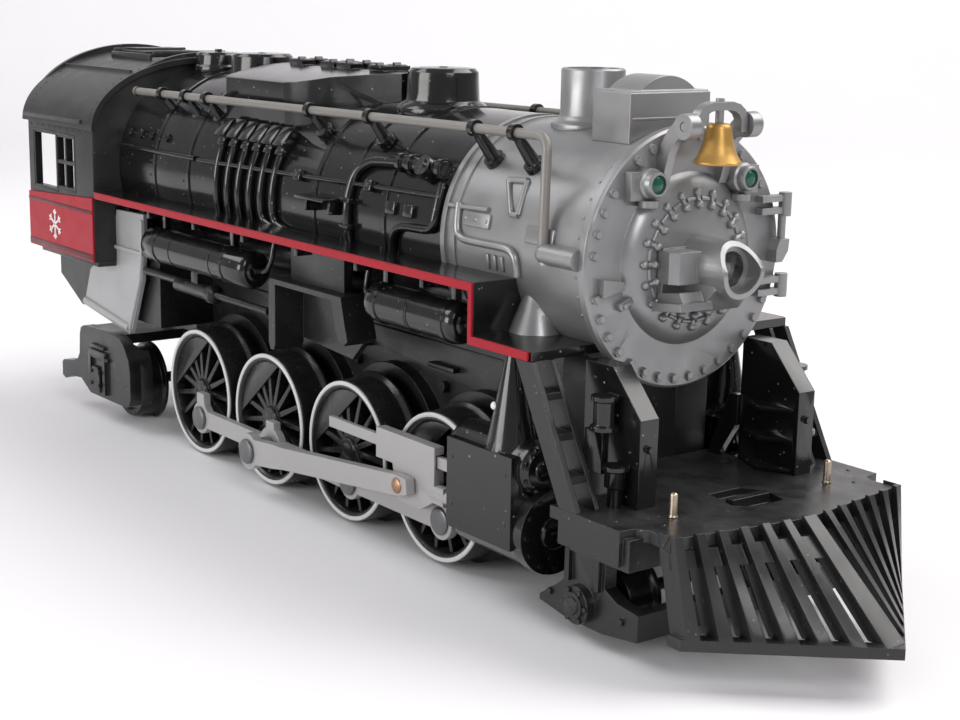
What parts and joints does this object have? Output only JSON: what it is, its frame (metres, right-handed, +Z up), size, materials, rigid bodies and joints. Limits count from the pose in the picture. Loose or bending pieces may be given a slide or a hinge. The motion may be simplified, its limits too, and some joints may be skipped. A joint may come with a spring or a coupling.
{
  "type": "toy steam locomotive",
  "caption": "Toy steam locomotive with coupled spoked drivers, side and main rods, swivelling trucks, slatted pilot, swinging bell and an open-backed cab.",
  "frame": {"origin": "centre of the footprint, at the height where the wheel flanges' lowest points stand", "axes": "+X forward towards the pilot, +Y to the locomotive's left, +Z up"},
  "size_m": [0.3865, 0.0858, 0.13],
  "materials": {
    "black_plastic": "satin, slightly dusty",
    "black_gloss": "gloss with fine dust",
    "cab_grey": "satin, dusty dark grey",
    "silver_paint": "satin silver-grey paint",
    "light_grey": "satin light grey",
    "rod_metal": "satin light grey metal",
    "pin_steel": "dark satin steel",
    "steel": "satin",
    "white_nylon": "satin",
    "board_green": "satin",
    "clear_lens": "clear",
    "bulb_glass": "clear, warm",
    "green_lens": "clear green",
    "bell_gold": "satin gold",
    "brass": "polished",
    "rail_beige": "satin beige-grey",
    "red_paint": "semi-gloss red",
    "wheel_black": "semi-gloss black"
  },
  "bodies": {
    "chassis": {"chassis_frame": "black_plastic", "bottom_cover": "black_plastic", "body_screws": "steel", "motor": "steel", "circuit_board": "board_green", "boiler_shell": "black_gloss", "smokebox_shell": "silver_paint", "smokebox_front": "silver_paint", "smokebox_hinges": "silver_paint", "headlight_housing": "silver_paint", "headlight_lens": "clear_lens", "headlight_bulb": "bulb_glass", "marker_lamps": "silver_paint", "marker_lenses": "green_lens", "bell_bracket": "silver_paint", "smokestack": "silver_paint", "feedwater_heater": "silver_paint", "boiler_top_casing": "black_gloss", "handrails": "rail_beige", "handrail_stanchions": "black_gloss", "cab_shell": "cab_grey", "cab_roof": "cab_grey", "cab_side_panels": "red_paint", "running_boards": "black_gloss", "edge_stripes": "red_paint", "ash_pan_plates": "light_grey", "air_tanks": "black_gloss", "reverse_gear": "black_plastic", "link_brackets": "black_plastic", "cylinder_blocks": "black_gloss", "crosshead_guides": "rod_metal", "front_deck": "black_plastic", "pilot": "black_plastic", "lift_pins": "brass", "ladders": "black_plastic", "pump_shields": "black_gloss"},
    "side_rod_right": {"side_rod_right": "rod_metal"},
    "side_rod_left": {"side_rod_left": "rod_metal"},
    "main_rod_right": {"main_rod_right": "rod_metal"},
    "main_rod_left": {"main_rod_left": "rod_metal"},
    "crosshead_right": {"crosshead_right": "rod_metal"},
    "crosshead_left": {"crosshead_left": "rod_metal"},
    "pilot_truck": {"pilot_truck_frame": "black_plastic"},
    "pilot_wheels": {"pilot_truck_wheels": "wheel_black"},
    "trailing_truck": {"trailing_truck_frame": "black_plastic"},
    "trailing_wheels": {"trailing_truck_wheels": "wheel_black"},
    "drawbar": {"drawbar": "black_plastic"},
    "bell": {"bell": "bell_gold", "bell_yoke": "silver_paint"},
    "worm": {"worm_shaft": "steel"},
    "drivers_1": {"driving_wheels_1": "wheel_black", "driving_axle_1": "pin_steel"},
    "drivers_2": {"driving_wheels_2": "wheel_black", "driving_axle_2": "pin_steel", "axle_gear": "white_nylon"},
    "drivers_3": {"driving_wheels_3": "wheel_black", "driving_axle_3": "pin_steel"},
    "drivers_4": {"driving_wheels_4": "wheel_black", "driving_axle_4": "pin_steel"}
  },
  "joints": [
    {"name": "drivers_1_spin", "type": "hinge", "parent": "chassis", "child": "drivers_1", "pos_m": [-0.067, 0, 0.0215], "axis": [0, 1, 0], "continuous": true},
    {"name": "drivers_2_spin", "type": "hinge", "parent": "chassis", "child": "drivers_2", "pos_m": [-0.0236, 0, 0.0215], "axis": [0, 1, 0], "continuous": true},
    {"name": "drivers_3_spin", "type": "hinge", "parent": "chassis", "child": "drivers_3", "pos_m": [0.0198, 0, 0.0215], "axis": [0, 1, 0], "continuous": true},
    {"name": "drivers_4_spin", "type": "hinge", "parent": "chassis", "child": "drivers_4", "pos_m": [0.0632, 0, 0.0215], "axis": [0, 1, 0], "continuous": true},
    {"name": "side_rod_right_pin", "type": "hinge", "parent": "drivers_2", "child": "side_rod_right", "pos_m": [-0.0178, -0.03175, 0.0144], "axis": [0, 1, 0], "continuous": true},
    {"name": "main_rod_right_pin", "type": "hinge", "parent": "drivers_2", "child": "main_rod_right", "pos_m": [-0.0178, -0.03905, 0.0144], "axis": [0, 1, 0], "continuous": true},
    {"name": "side_rod_left_pin", "type": "hinge", "parent": "drivers_2", "child": "side_rod_left", "pos_m": [-0.0165, 0.03175, 0.0273], "axis": [0, 1, 0], "continuous": true},
    {"name": "main_rod_left_pin", "type": "hinge", "parent": "drivers_2", "child": "main_rod_left", "pos_m": [-0.0165, 0.03905, 0.0273], "axis": [0, 1, 0], "continuous": true},
    {"name": "crosshead_right_slide", "type": "slide", "parent": "chassis", "child": "crosshead_right", "axis": [1, 0, 0], "range_m": [-0.015, 0.0034]},
    {"name": "crosshead_left_slide", "type": "slide", "parent": "chassis", "child": "crosshead_left", "axis": [1, 0, 0], "range_m": [-0.0163, 0.0021]},
    {"name": "pilot_truck_swivel", "type": "hinge", "parent": "chassis", "child": "pilot_truck", "pos_m": [0.106, 0, 0.0224], "axis": [0, 0, 1], "range_deg": [-7, 7]},
    {"name": "pilot_wheels_spin", "type": "hinge", "parent": "pilot_truck", "child": "pilot_wheels", "pos_m": [0.127, 0, 0.01], "axis": [0, 1, 0], "continuous": true},
    {"name": "trailing_truck_swivel", "type": "hinge", "parent": "chassis", "child": "trailing_truck", "pos_m": [-0.109, 0, 0.031], "axis": [0, 0, 1], "range_deg": [-7, 7]},
    {"name": "trailing_wheels_spin", "type": "hinge", "parent": "trailing_truck", "child": "trailing_wheels", "pos_m": [-0.1235, 0, 0.0135], "axis": [0, 1, 0], "continuous": true},
    {"name": "drawbar_swing", "type": "hinge", "parent": "chassis", "child": "drawbar", "pos_m": [-0.148, 0, 0.0307], "axis": [0, 0, 1], "range_deg": [-22, 22]},
    {"name": "bell_swing", "type": "hinge", "parent": "chassis", "child": "bell", "pos_m": [0.13, 0, 0.119], "axis": [0, 1, 0], "range_deg": [-12, 12]},
    {"name": "worm_spin", "type": "hinge", "parent": "chassis", "child": "worm", "pos_m": [-0.0236, 0, 0.033], "axis": [1, 0, 0], "continuous": true}
  ],
  "couplings": [
    {"joint": "drivers_1_spin", "follows": "drivers_2_spin", "ratio": 1},
    {"joint": "drivers_3_spin", "follows": "drivers_2_spin", "ratio": 1},
    {"joint": "drivers_4_spin", "follows": "drivers_2_spin", "ratio": 1},
    {"joint": "side_rod_right_pin", "follows": "drivers_2_spin", "ratio": -1},
    {"joint": "main_rod_right_pin", "follows": "drivers_2_spin", "ratio": -1},
    {"joint": "side_rod_left_pin", "follows": "drivers_2_spin", "ratio": -1},
    {"joint": "main_rod_left_pin", "follows": "drivers_2_spin", "ratio": -1},
    {"joint": "worm_spin", "follows": "drivers_2_spin", "ratio": 20}
  ]
}
